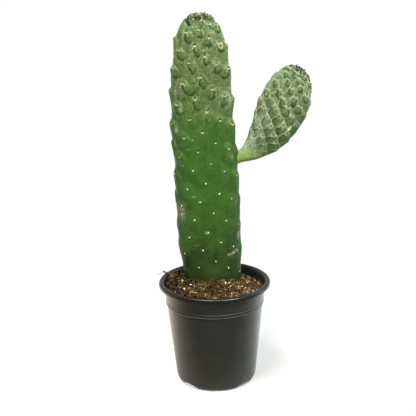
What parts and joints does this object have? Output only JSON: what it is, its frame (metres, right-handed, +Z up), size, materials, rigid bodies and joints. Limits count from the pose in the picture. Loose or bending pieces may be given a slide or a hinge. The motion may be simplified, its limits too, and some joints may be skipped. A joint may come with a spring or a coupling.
{
  "type": "potted paddle cactus",
  "caption": "Tall flat-stemmed cactus with a smaller side pad, standing in soil in a round black nursery pot with a rolled rim.",
  "frame": {"origin": "centre of the pot's flat underside, where it stands on a surface", "axes": "+Z up along the pot's axis, +X to the side that the side pad grows to, -Y to the front of the pads' faces"},
  "size_m": [0.2121, 0.155, 0.5043],
  "materials": {
    "pot_plastic": "satin",
    "soil_mix": "matte",
    "main_pad_skin": "satin",
    "side_pad_skin": "satin"
  },
  "bodies": {
    "root": {"pot": "pot_plastic", "soil": "soil_mix", "main_pad": "main_pad_skin", "side_pad": "side_pad_skin"}
  },
  "joints": []
}
